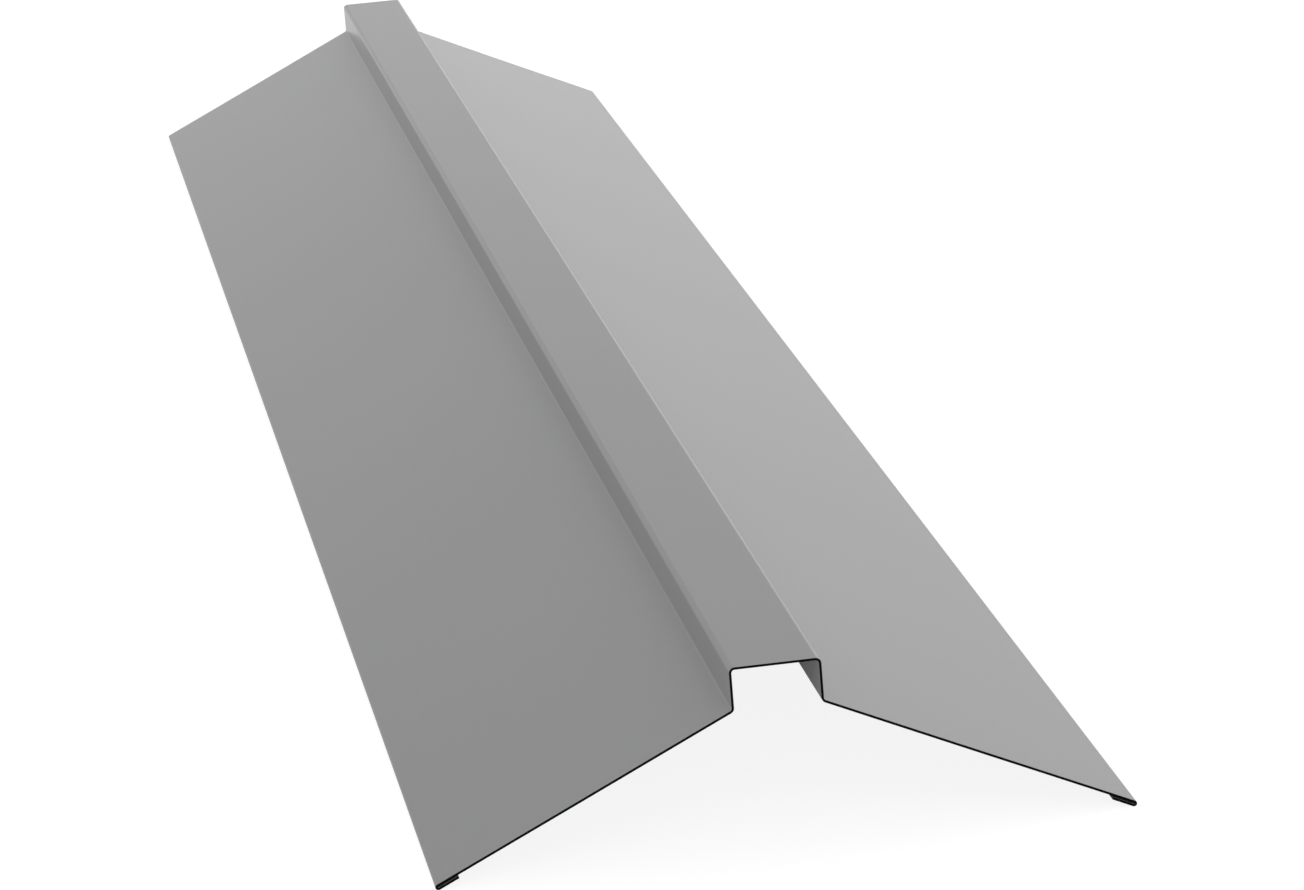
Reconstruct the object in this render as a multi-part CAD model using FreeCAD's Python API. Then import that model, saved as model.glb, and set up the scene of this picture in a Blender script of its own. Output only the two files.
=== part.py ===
import FreeCAD, Part
import math
import os

# Ridge cap: one strip of coated steel sheet, folded along its length into a raised rib
# between two sloping wings, with the outer edge of each wing hemmed flat underneath.
# X runs across the ridge, Y along it and Z up. The cap is centred on the origin and
# stands on its two hems at Z = 0, as it does when it is put down on a level floor.

# Driving dimensions, in millimetres and degrees
cap_length = 1800.0
wing_width = 150.0       # down the slope, from the rib's foot to the folded edge
wing_slope = 25.0        # below the level
rib_width = 40.8         # over the outside of the crown
rib_height = 19.2        # from the rib's foot up to the top of the crown
rib_side_slope = 90.0    # above the level, so the rib's sides stand upright
sheet_thickness = 1.1
bend_radius = 1.5        # inside each of the four bends of the rib
hem_width = 11.2         # of the strip that is folded back under each wing
hem_gap = 0.5            # left open between the wing and the strip under it

# Angles that each bend turns through, in radians
crown_turn = math.radians(rib_side_slope)
foot_turn = math.radians(rib_side_slope - wing_slope)
hem_turn = math.pi

# Lengths that the bends take off the flat runs beside them
crown_setback = (bend_radius + sheet_thickness) * math.tan(crown_turn / 2)
foot_setback = bend_radius * math.tan(foot_turn / 2)
hem_bend_radius = hem_gap / 2
hem_setback = hem_bend_radius + sheet_thickness

# Flat runs of the strip between its bends
hem_flat = hem_width - hem_setback
wing_flat = wing_width - hem_setback - foot_setback
side_flat = rib_height / math.sin(crown_turn) - foot_setback - crown_setback
crown_flat = rib_width - 2 * crown_setback


def direction(heading):
    """Unit vector in the XZ plane, at an angle above +X."""
    return FreeCAD.Vector(math.cos(heading), 0, math.sin(heading))


def line_edge(start, end):
    return Part.LineSegment(start, end).toShape()


def arc_edge(centre, radius, from_angle, turn):
    """Arc in the XZ plane, anticlockwise where its turn is positive."""
    points = [centre + direction(from_angle + turn * share) * radius for share in (0, 0.5, 1)]
    return Part.Arc(*points).toShape()


def folded_strip(heading, flat_runs, bends):
    """Section of a folded strip, as a face in the XZ plane.

    The strip sets out at the heading. A bend stands between each two flat runs, as its
    inside radius and its turn, and an anticlockwise turn is positive.
    """
    quarter_turn = math.pi / 2
    half_thickness = sheet_thickness / 2
    middle = FreeCAD.Vector(0, 0, 0)
    upper_edges = []
    lower_edges = []
    for flat_run, bend in zip(flat_runs, bends + [None]):
        to_upper = direction(heading + quarter_turn)
        run_end = middle + direction(heading) * flat_run
        for edges, offset in ((upper_edges, half_thickness), (lower_edges, -half_thickness)):
            edges.append(line_edge(middle + to_upper * offset, run_end + to_upper * offset))
        middle = run_end
        if bend is None:
            break
        inside_radius, turn = bend
        way = math.copysign(1, turn)
        middle_radius = inside_radius + half_thickness
        centre = middle + to_upper * (way * middle_radius)
        from_angle = heading - way * quarter_turn
        for edges, offset in ((upper_edges, half_thickness), (lower_edges, -half_thickness)):
            edges.append(arc_edge(centre, middle_radius - way * offset, from_angle, turn))
        middle = centre + direction(from_angle + turn) * middle_radius
        heading += turn
    first_cut = line_edge(lower_edges[0].Vertexes[0].Point, upper_edges[0].Vertexes[0].Point)
    last_cut = line_edge(upper_edges[-1].Vertexes[-1].Point, lower_edges[-1].Vertexes[-1].Point)
    return Part.Face(Part.Wire([first_cut] + upper_edges + [last_cut] + lower_edges[::-1]))


def ridge_cap():
    """The whole cap, from the left hem up the wing, over the rib and down to the right hem."""
    half_runs = [hem_flat, wing_flat, side_flat]
    half_bends = [(hem_bend_radius, -hem_turn), (bend_radius, foot_turn), (bend_radius, -crown_turn)]
    hem_heading = math.pi + math.radians(wing_slope)
    section = folded_strip(
        hem_heading,
        half_runs + [crown_flat] + half_runs[::-1],
        half_bends + half_bends[::-1],
    )
    section_box = section.BoundBox
    section.translate(FreeCAD.Vector(-section_box.Center.x, -cap_length / 2, -section_box.ZMin))
    return section.extrude(FreeCAD.Vector(0, cap_length, 0))


os.makedirs("parts", exist_ok=True)
ridge_cap().exportStep("parts/ridge_cap.step")
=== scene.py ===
import math

import bpy
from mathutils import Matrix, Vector


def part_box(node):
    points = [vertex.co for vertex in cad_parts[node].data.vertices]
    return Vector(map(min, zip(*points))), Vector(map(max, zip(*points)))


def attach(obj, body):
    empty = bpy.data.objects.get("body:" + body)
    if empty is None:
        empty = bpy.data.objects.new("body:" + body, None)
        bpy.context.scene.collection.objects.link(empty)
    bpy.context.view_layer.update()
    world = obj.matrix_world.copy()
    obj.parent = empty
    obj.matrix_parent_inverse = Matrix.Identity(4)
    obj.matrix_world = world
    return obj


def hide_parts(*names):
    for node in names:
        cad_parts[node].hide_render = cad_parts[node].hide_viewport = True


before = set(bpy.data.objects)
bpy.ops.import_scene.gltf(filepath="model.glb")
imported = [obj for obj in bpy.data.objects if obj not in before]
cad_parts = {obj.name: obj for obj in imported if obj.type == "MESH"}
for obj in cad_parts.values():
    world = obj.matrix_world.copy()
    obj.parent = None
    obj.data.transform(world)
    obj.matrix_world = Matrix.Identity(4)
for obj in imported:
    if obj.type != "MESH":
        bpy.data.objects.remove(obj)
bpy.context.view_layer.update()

# The whole cap is one sheet, folded from the crown outwards. Lengths are in metres, angles in degrees.
# Its overall length and height come from the frame.
ridgeCap = {
    "wingWidth": 0.150,      # down the slope, from the rib's foot to the folded edge
    "wingSlope": 25.0,       # below the level
    "ribWidth": 0.0408,      # over the outside of the crown
    "ribHeight": 0.0192,     # from the rib's foot up to the top of the crown
    "sheet": 0.0011,
    "bendRadius": 0.0015,    # inside the four bends of the rib
    "hemWidth": 0.0112,      # of the strip folded back under each wing
    "hemGap": 0.0005,        # left open inside the fold
    "bendSteps": 8,          # facets in each bend of the rib
    "hemSteps": 12,          # facets in the fold of each hem
    "wingStrips": 10,        # strips across each wing
    "slices": 96,            # short lengths that the cap is cut into for the waves
    "pickReach": 0.0001,     # how near a point lies to the line that it is picked by
    "weldReach": 0.00001,    # points nearer to each other than this become one
    "cutRounding": 0.00003,  # on the sheared ends and the hems' cut edges
    "roundingSteps": 2,
    "sharpFrom": 60.0,       # edges sharper than this are rounded
    "smoothUpTo": 30.0,      # facets that meet flatter than this are shaded as one curve
}


def heading(side, angle):
    # unit arrow in the section, angle above the level, side -1 for the left half
    return Vector((side * math.cos(angle), 0, math.sin(angle)))


def pullStraight(tip, length, strips=1):
    # the selected edge is drawn on in a straight line
    step = heading(tip["side"], tip["angle"]) * (length / strips)
    for strip in range(strips):
        bpy.ops.mesh.extrude_region_move(TRANSFORM_OT_translate={"value": step})
        tip["point"] += step


def bendRound(tip, radius, turn, steps):
    # the selected edge is spun about the bend's centre, a negative turn goes downwards
    way = math.copysign(1, turn)
    toCentre = heading(tip["side"], tip["angle"] + way * math.pi / 2)
    centre = tip["point"] + toCentre * radius
    bpy.ops.mesh.spin(steps=steps, angle=abs(turn), center=centre, axis=(0, way * tip["side"], 0))
    tip["angle"] += turn
    tip["point"] = centre - heading(tip["side"], tip["angle"] + way * math.pi / 2) * radius


def selectEdges(piece, wanted):
    # only the edges whose two ends pass the test are selected
    bpy.ops.mesh.select_mode(type="EDGE")
    bpy.ops.mesh.select_all(action="DESELECT")
    bpy.ops.object.mode_set(mode="OBJECT")
    points = piece.data.vertices
    for edge in piece.data.edges:
        edge.select = wanted(points[edge.vertices[0]].co, points[edge.vertices[1]].co)
    bpy.ops.object.mode_set(mode="EDIT")


def foldHalf(piece, side, crownHalf, crownLevel):
    # one half of the sheet, folded from the crown's edge out to the hem
    thick = ridgeCap["sheet"]
    bendRadius = ridgeCap["bendRadius"]
    crownTurn = math.pi / 2
    footTurn = math.pi / 2 - math.radians(ridgeCap["wingSlope"])
    crownSetback = bendRadius + thick
    footSetback = bendRadius * math.tan(footTurn / 2)
    hemSetback = ridgeCap["hemGap"] / 2 + thick
    sideRun = ridgeCap["ribHeight"] - crownSetback - footSetback
    wingRun = ridgeCap["wingWidth"] - hemSetback - footSetback
    hemRun = ridgeCap["hemWidth"] - hemSetback
    edgeX = side * crownHalf

    def onCrownEdge(point):
        return abs(point.x - edgeX) < ridgeCap["pickReach"]

    selectEdges(piece, lambda start, end: onCrownEdge(start) and onCrownEdge(end))
    tip = {"side": side, "angle": 0.0, "point": Vector((edgeX, 0, crownLevel))}
    bendRound(tip, bendRadius + thick / 2, -crownTurn, ridgeCap["bendSteps"])
    pullStraight(tip, sideRun)
    bendRound(tip, bendRadius + thick / 2, footTurn, ridgeCap["bendSteps"])
    pullStraight(tip, wingRun, ridgeCap["wingStrips"])
    bendRound(tip, (ridgeCap["hemGap"] + thick) / 2, -math.pi, ridgeCap["hemSteps"])
    pullStraight(tip, hemRun)


def foldSheet():
    # the sheet's middle surface, from the crown outwards on both sides
    low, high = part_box("ridge_cap")
    length = high.y - low.y
    crownHalf = ridgeCap["ribWidth"] / 2 - ridgeCap["bendRadius"] - ridgeCap["sheet"]
    crownLevel = high.z - ridgeCap["sheet"] / 2
    bpy.ops.object.select_all(action="DESELECT")
    bpy.ops.mesh.primitive_plane_add(size=1, location=(0, (low.y + high.y) / 2, crownLevel))
    piece = bpy.context.object
    piece.name = "foldedRidgeCap"
    piece.scale = (2 * crownHalf, length, 1)
    bpy.ops.object.transform_apply(location=True, rotation=True, scale=True)
    bpy.ops.object.mode_set(mode="EDIT")
    for side in (1, -1):
        foldHalf(piece, side, crownHalf, crownLevel)
    bpy.ops.mesh.select_all(action="SELECT")
    bpy.ops.mesh.remove_doubles(threshold=ridgeCap["weldReach"])
    bpy.ops.mesh.normals_make_consistent(inside=False)

    # the edges that run from end to end are cut into slices
    selectEdges(piece, lambda start, end: abs(start.y - end.y) > length / 2)
    bpy.ops.mesh.subdivide(number_cuts=ridgeCap["slices"] - 1)
    bpy.ops.object.mode_set(mode="OBJECT")
    return piece


def applyModifier(piece, name, kind, **values):
    modifier = piece.modifiers.new(name, kind)
    for key, value in values.items():
        setattr(modifier, key, value)
    bpy.context.view_layer.objects.active = piece
    bpy.ops.object.modifier_apply(modifier=name)


# Slow waves that thin sheet keeps after folding, on the wings only
waves = {
    "rise": 0.0004,          # from trough to crest, at most
    "size": 0.30,
}


def waveWings(piece):
    # the bends stay straight, and the waves grow towards the middle of each wing
    ribHalf = ridgeCap["ribWidth"] / 2
    wingReach = ridgeCap["wingWidth"] * math.cos(math.radians(ridgeCap["wingSlope"]))
    loose = piece.vertex_groups.new(name="looseWing")
    for point in piece.data.vertices:
        pastRib = abs(point.co.x) - ribHalf
        share = pastRib / wingReach
        overHem = pastRib > wingReach - ridgeCap["hemWidth"]
        if 0 < share < 1 and not overHem:
            loose.add([point.index], math.sin(math.pi * share) ** 2, "REPLACE")
    cloud = bpy.data.textures.new("slowWaves", "CLOUDS")
    cloud.noise_scale = waves["size"]
    cloud.noise_depth = 0
    applyModifier(piece, "slowWaves", "DISPLACE", texture=cloud, texture_coords="LOCAL",
                  strength=waves["rise"], mid_level=0.5, vertex_group="looseWing")
    piece.vertex_groups.clear()


# Material slots of the sheet, the painted face has the first
backSlot = 1
cutSlot = 2


def giveThickness(piece):
    # both faces stand half the sheet's thickness off the middle surface, and the cut edges are eased
    applyModifier(piece, "sheetThickness", "SOLIDIFY", thickness=ridgeCap["sheet"], offset=0,
                  use_even_offset=True, material_offset=backSlot, material_offset_rim=cutSlot)
    applyModifier(piece, "cutRounding", "BEVEL", width=ridgeCap["cutRounding"],
                  segments=ridgeCap["roundingSteps"], limit_method="ANGLE",
                  angle_limit=math.radians(ridgeCap["sharpFrom"]), material=cutSlot)
    bpy.ops.object.shade_smooth_by_angle(angle=math.radians(ridgeCap["smoothUpTo"]))
    applyModifier(piece, "flatFaces", "WEIGHTED_NORMAL", keep_sharp=True)


def newMaterial(name):
    material = bpy.data.materials.new(name)
    material.use_nodes = True
    nodes = material.node_tree.nodes
    return material, nodes, material.node_tree.links, nodes["Principled BSDF"]


def addNode(nodes, kind, **values):
    # each value goes to the input of that name, or else to the node's own setting
    node = nodes.new(kind)
    for key, value in values.items():
        if key in node.inputs:
            node.inputs[key].default_value = value
        else:
            setattr(node, key, value)
    return node


# Detail of the noises: fine for speckle and shear marks, soft for clouds and orange peel
fineDetail = 2.0
softDetail = 1.0
noiseMiddle = 0.5            # a noise goes as far above this as below it


def buildCoatGroup():
    # fine speckle, slow clouds and orange peel, for the paint on both faces of the sheet
    group = bpy.data.node_groups.new("rolledCoat", "ShaderNodeTree")
    socket = group.interface.new_socket
    socket("Colour", in_out="INPUT", socket_type="NodeSocketColor")
    for name in ("Roughness", "Speckle", "Speckle Size", "Cloud", "Cloud Size", "Peel Size"):
        socket(name, in_out="INPUT", socket_type="NodeSocketFloat")
    socket("Colour", in_out="OUTPUT", socket_type="NodeSocketColor")
    socket("Roughness", in_out="OUTPUT", socket_type="NodeSocketFloat")
    socket("Height", in_out="OUTPUT", socket_type="NodeSocketFloat")
    nodes, links = group.nodes, group.links
    given = nodes.new("NodeGroupInput")
    result = nodes.new("NodeGroupOutput")
    place = nodes.new("ShaderNodeTexCoord")

    def noiseAt(sizeName, detail):
        # a noise whose grains are as large as the named input says
        perMetre = addNode(nodes, "ShaderNodeMath", operation="DIVIDE")
        perMetre.inputs[0].default_value = 1.0
        links.new(given.outputs[sizeName], perMetre.inputs[1])
        noise = addNode(nodes, "ShaderNodeTexNoise", Detail=detail)
        links.new(place.outputs["Object"], noise.inputs["Vector"])
        links.new(perMetre.outputs[0], noise.inputs["Scale"])
        return noise.outputs["Fac"]

    def spread(noise, amountName):
        # a factor near 1 that follows the noise, by the share that the named input says
        aboutZero = addNode(nodes, "ShaderNodeMath", operation="SUBTRACT")
        links.new(noise, aboutZero.inputs[0])
        aboutZero.inputs[1].default_value = noiseMiddle
        aboutOne = addNode(nodes, "ShaderNodeMath", operation="MULTIPLY_ADD")
        links.new(aboutZero.outputs[0], aboutOne.inputs[0])
        links.new(given.outputs[amountName], aboutOne.inputs[1])
        aboutOne.inputs[2].default_value = 1.0
        return aboutOne.outputs[0]

    speckle = spread(noiseAt("Speckle Size", fineDetail), "Speckle")
    cloud = spread(noiseAt("Cloud Size", softDetail), "Cloud")
    both = addNode(nodes, "ShaderNodeMath", operation="MULTIPLY")
    links.new(speckle, both.inputs[0])
    links.new(cloud, both.inputs[1])
    tinted = addNode(nodes, "ShaderNodeVectorMath", operation="SCALE")
    links.new(given.outputs["Colour"], tinted.inputs[0])
    links.new(both.outputs[0], tinted.inputs["Scale"])
    links.new(tinted.outputs[0], result.inputs["Colour"])
    rough = addNode(nodes, "ShaderNodeMath", operation="MULTIPLY")
    links.new(given.outputs["Roughness"], rough.inputs[0])
    links.new(cloud, rough.inputs[1])
    links.new(rough.outputs[0], result.inputs["Roughness"])
    links.new(noiseAt("Peel Size", softDetail), result.inputs["Height"])
    return group


topCoat = {
    "colour": (0.280, 0.284, 0.281),
    "roughness": 0.2,
    "refraction": 1.1,       # low, so the gloss is weak
    "speckle": 0.08,         # share of the colour
    "speckleSize": 0.0009,
    "cloud": 0.07,           # share of the colour and of the roughness
    "cloudSize": 0.35,
    "peelHeight": 0.000010,  # orange peel of the dried paint
    "peelSize": 0.0018,
}

# The thinner and duller coat on the underside
backCoat = {
    "colour": (0.280, 0.284, 0.281),
    "roughness": 0.55,
    "refraction": 1.2,
    "speckle": 0.10,
    "speckleSize": 0.0012,
    "cloud": 0.10,
    "cloudSize": 0.25,
    "peelHeight": 0.000012,
    "peelSize": 0.0014,
}


def coatMaterial(name, look, group):
    material, nodes, links, shader = newMaterial(name)
    coat = nodes.new("ShaderNodeGroup")
    coat.node_tree = group
    coat.inputs["Colour"].default_value = (*look["colour"], 1)
    coat.inputs["Roughness"].default_value = look["roughness"]
    coat.inputs["Speckle"].default_value = look["speckle"]
    coat.inputs["Speckle Size"].default_value = look["speckleSize"]
    coat.inputs["Cloud"].default_value = look["cloud"]
    coat.inputs["Cloud Size"].default_value = look["cloudSize"]
    coat.inputs["Peel Size"].default_value = look["peelSize"]
    links.new(coat.outputs["Colour"], shader.inputs["Base Color"])
    links.new(coat.outputs["Roughness"], shader.inputs["Roughness"])
    bump = addNode(nodes, "ShaderNodeBump", Distance=look["peelHeight"])
    links.new(coat.outputs["Height"], bump.inputs["Height"])
    links.new(bump.outputs["Normal"], shader.inputs["Normal"])
    shader.inputs["IOR"].default_value = look["refraction"]
    return material


# Bare edge of the sheet, darkened to near-black as painted shade, so it reads as a black line all round
# the open end
paintedShadeCutEdge = {
    # near-black is painted shade, in place of the lighter grey of bare steel
    "colour": (0.004, 0.004, 0.004),
    "roughness": 0.5,
    "shearMark": 0.0004,     # size of the marks that the shears leave
    "shearDepth": 0.00001,
}


def paintedShadeCutEdgeMaterial():
    material, nodes, links, shader = newMaterial("paintedShadeCutEdge")
    place = nodes.new("ShaderNodeTexCoord")
    marks = addNode(nodes, "ShaderNodeTexNoise", Scale=1 / paintedShadeCutEdge["shearMark"], Detail=fineDetail)
    links.new(place.outputs["Object"], marks.inputs["Vector"])
    bump = addNode(nodes, "ShaderNodeBump", Distance=paintedShadeCutEdge["shearDepth"])
    links.new(marks.outputs["Fac"], bump.inputs["Height"])
    links.new(bump.outputs["Normal"], shader.inputs["Normal"])
    # the near-black base colour paints shade on the cut edges and their rounding
    shader.inputs["Base Color"].default_value = (*paintedShadeCutEdge["colour"], 1)
    shader.inputs["Metallic"].default_value = 1.0
    shader.inputs["Roughness"].default_value = paintedShadeCutEdge["roughness"]
    return material


studio = {
    "white": (1, 1, 1, 1),
    "skyLevel": 0.606,       # light from all round
    "shownLevel": 1.0,       # what the camera and the gloss see instead
    "floorSize": 80.0,
    "floorColour": (0.86, 0.86, 0.86),
    "floorGlow": 0.885,      # what the seen floor keeps in full shade
    "floorShadow": (0.18, 0.18, 0.18),  # what the light adds to it
}


def seenRays(nodes, links):
    # 1 for the rays that show white: camera, glossy and transmission
    path = nodes.new("ShaderNodeLightPath")
    cameraOrGloss = addNode(nodes, "ShaderNodeMath", operation="MAXIMUM")
    links.new(path.outputs["Is Camera Ray"], cameraOrGloss.inputs[0])
    links.new(path.outputs["Is Glossy Ray"], cameraOrGloss.inputs[1])
    anySeen = addNode(nodes, "ShaderNodeMath", operation="MAXIMUM")
    links.new(cameraOrGloss.outputs[0], anySeen.inputs[0])
    links.new(path.outputs["Is Transmission Ray"], anySeen.inputs[1])
    return anySeen.outputs[0]


def showSeparately(nodes, links, lighting, shown, resultKind):
    # the first shader lights the cap, and the second is what the seen rays show
    mix = nodes.new("ShaderNodeMixShader")
    result = nodes.new(resultKind)
    links.new(seenRays(nodes, links), mix.inputs["Fac"])
    links.new(lighting.outputs[0], mix.inputs[1])
    links.new(shown.outputs[0], mix.inputs[2])
    links.new(mix.outputs[0], result.inputs["Surface"])


def makeWorld():
    world = bpy.data.worlds.new("whiteStudio")
    world.use_nodes = True
    bpy.context.scene.world = world
    nodes, links = world.node_tree.nodes, world.node_tree.links
    nodes.clear()
    sky = addNode(nodes, "ShaderNodeBackground", Strength=studio["skyLevel"], Color=studio["white"])
    backdrop = addNode(nodes, "ShaderNodeBackground", Strength=studio["shownLevel"], Color=studio["white"])
    showSeparately(nodes, links, sky, backdrop, "ShaderNodeOutputWorld")


def makeFloor():
    bpy.ops.mesh.primitive_plane_add(size=studio["floorSize"], location=(0, 0, 0))
    floor = bpy.context.object
    floor.name = "studioFloor"
    material = bpy.data.materials.new("paleFloor")
    material.use_nodes = True
    nodes, links = material.node_tree.nodes, material.node_tree.links
    nodes.clear()
    plain = addNode(nodes, "ShaderNodeBsdfDiffuse", Color=(*studio["floorColour"], 1))
    shaded = addNode(nodes, "ShaderNodeBsdfDiffuse", Color=(*studio["floorShadow"], 1))
    glow = addNode(nodes, "ShaderNodeEmission", Strength=studio["floorGlow"], Color=studio["white"])
    shown = nodes.new("ShaderNodeAddShader")
    links.new(shaded.outputs[0], shown.inputs[0])
    links.new(glow.outputs[0], shown.inputs[1])
    showSeparately(nodes, links, plain, shown, "ShaderNodeOutputMaterial")
    floor.data.materials.append(material)


# Round lamps that all face the cap, power in watts
softBoxes = {
    "sideLight": {"place": (3.985, 0, 0.349), "size": 2.4, "power": 99.3},
    "endLight": {"place": (0, 3.939, 0.695), "size": 2.4, "power": 126.5},
    "nearLight": {"place": (0, -3.464, 2.0), "size": 2.4, "power": 24.3},
}


def makeSoftBoxes():
    for name, box in softBoxes.items():
        bpy.ops.object.light_add(type="AREA", location=box["place"])
        lamp = bpy.context.object
        lamp.name = name
        lamp.visible_glossy = False   # the gloss mirrors only the white around the cap
        lamp.data.shape = "DISK"
        lamp.data.size = box["size"]
        lamp.data.energy = box["power"]
        lamp.rotation_euler = (-Vector(box["place"])).to_track_quat("-Z", "Y").to_euler()


# The photo's own angle, lens and sensor in millimetres
view = {
    "place": (-0.35030, -3.34825, 0.80718),
    "turns": (75.8553, 4.5134, -8.2268),
    "lens": 163.86,
    "sensor": 36.0,
    "reach": 100.0,
}


def makeCamera():
    turns = [math.radians(turn) for turn in view["turns"]]
    bpy.ops.object.camera_add(location=view["place"], rotation=turns)
    camera = bpy.context.object
    camera.name = "photoCamera"
    camera.data.lens = view["lens"]
    camera.data.sensor_width = view["sensor"]
    camera.data.clip_end = view["reach"]
    bpy.context.scene.camera = camera


print("folding the sheet")
cap = foldSheet()
waveWings(cap)

print("painting the sheet")
coatGroup = buildCoatGroup()
cap.data.materials.append(coatMaterial("topCoat", topCoat, coatGroup))
cap.data.materials.append(coatMaterial("backCoat", backCoat, coatGroup))
cap.data.materials.append(paintedShadeCutEdgeMaterial())

print("giving the sheet its thickness")
giveThickness(cap)
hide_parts("ridge_cap")
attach(cap, "root")

print("setting up the studio")
makeFloor()
makeWorld()
makeSoftBoxes()
makeCamera()
bpy.context.scene.view_settings.view_transform = "Standard"
